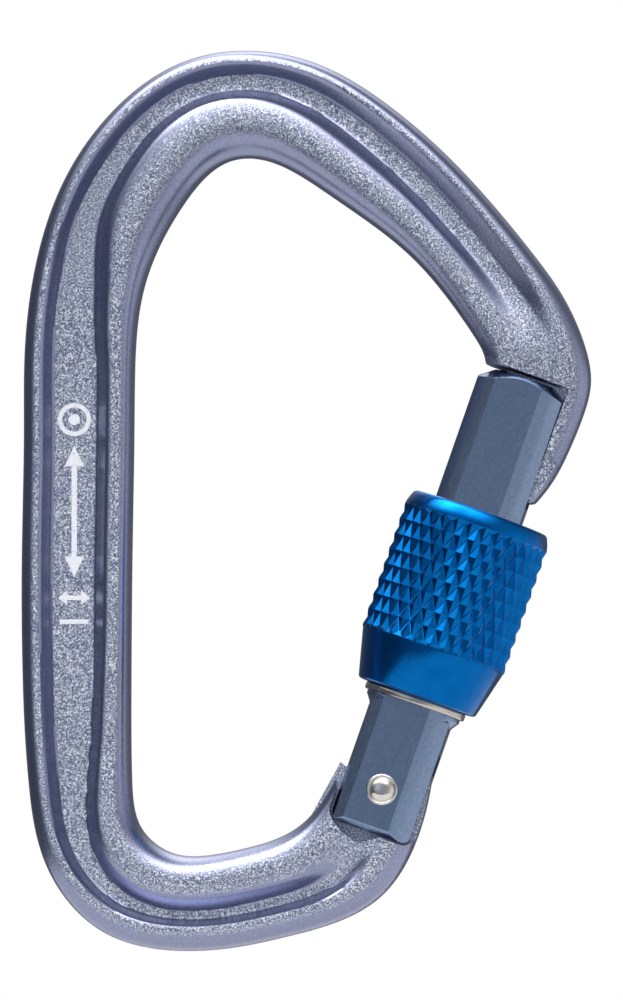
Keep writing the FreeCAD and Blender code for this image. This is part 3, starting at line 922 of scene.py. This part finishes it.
def studio_world():
    """Dark room with soft lights for reflections, and a white ground behind the object."""
    world = bpy.data.worlds.new("studio")
    world.use_nodes = True
    bpy.context.scene.world = world
    nodes, links = world.node_tree.nodes, world.node_tree.links
    nodes.clear()
    where = nodes.new("ShaderNodeTexCoord").outputs["Generated"]
    total = None
    for turn, rise, width, color in SOFT_LIGHTS:
        turn, rise = math.radians(turn), math.radians(rise)
        toward = nodes.new("ShaderNodeVectorMath")
        toward.operation = "DOT_PRODUCT"
        links.new(where, toward.inputs[0])
        toward.inputs[1].default_value = (math.sin(turn) * math.cos(rise), -math.cos(turn) * math.cos(rise),
                                          math.sin(rise))
        spread = nodes.new("ShaderNodeMath")
        spread.operation = "MULTIPLY_ADD"
        links.new(toward.outputs["Value"], spread.inputs[0])
        spread.inputs[1].default_value = 1 / math.radians(width) ** 2
        spread.inputs[2].default_value = -1 / math.radians(width) ** 2
        glow = nodes.new("ShaderNodeMath")
        glow.operation = "EXPONENT"
        links.new(spread.outputs[0], glow.inputs[0])
        lamp = nodes.new("ShaderNodeVectorMath")
        lamp.operation = "SCALE"
        lamp.inputs[0].default_value = color
        links.new(glow.outputs[0], lamp.inputs["Scale"])
        add = nodes.new("ShaderNodeVectorMath")
        add.operation = "ADD"
        links.new(lamp.outputs[0], add.inputs[0])
        if total is None:
            add.inputs[1].default_value = ROOM_GLOW
        else:
            links.new(total, add.inputs[1])
        total = add.outputs[0]
    room = nodes.new("ShaderNodeBackground")
    links.new(total, room.inputs["Color"])
    ground = nodes.new("ShaderNodeBackground")
    ground.inputs["Color"].default_value = (1, 1, 1, 1)
    seen = nodes.new("ShaderNodeLightPath").outputs["Is Camera Ray"]
    mix = nodes.new("ShaderNodeMixShader")
    links.new(seen, mix.inputs[0])
    links.new(room.outputs[0], mix.inputs[1])
    links.new(ground.outputs[0], mix.inputs[2])
    links.new(mix.outputs[0], nodes.new("ShaderNodeOutputWorld").inputs[0])


def studio_floor():
    """Plain pale floor below the hanging object."""
    size, height = FLOOR_HALF, cad_box[0][2] - FLOOR_DROP
    obj = mesh_object("studio_floor", [(-size, -size, height), (size, -size, height), (size, size, height),
                                       (-size, size, height)], [(0, 1, 2, 3)])
    f = Finish("pale floor", (0.55, 0.55, 0.56), 0.0, 0.7)
    f.into("Roughness", f.span(f.noise(20, 2.0), 0.3, 0.7, 0.62, 0.78))
    obj.data.materials.append(f.material)


def studio_camera():
    """Long lens a little to the right of the face and a little below it."""
    data = bpy.data.cameras.new("camera")
    data.sensor_fit = "VERTICAL"
    data.sensor_height = 24.0
    data.lens = data.sensor_height * CAMERA_DISTANCE / VIEW_HEIGHT
    data.clip_start, data.clip_end = 0.05, 20.0
    obj = bpy.data.objects.new("camera", data)
    target = Vector(CAMERA_TARGET)
    side, rise = math.radians(CAMERA_SIDE), math.radians(CAMERA_RISE)
    away = Vector((math.sin(side) * math.cos(rise), -math.cos(side) * math.cos(rise), math.sin(rise)))
    obj.location = target + away * CAMERA_DISTANCE
    obj.rotation_euler = (-away).to_track_quat("-Z", "Y").to_euler()
    bpy.context.scene.collection.objects.link(obj)
    bpy.context.scene.camera = obj


studio_world()
studio_floor()
studio_camera()
square_light("key softbox", (-0.45, -0.45, 0.75), CENTRE, 0.3, 0.3)
bpy.context.scene.view_settings.view_transform = "Standard"
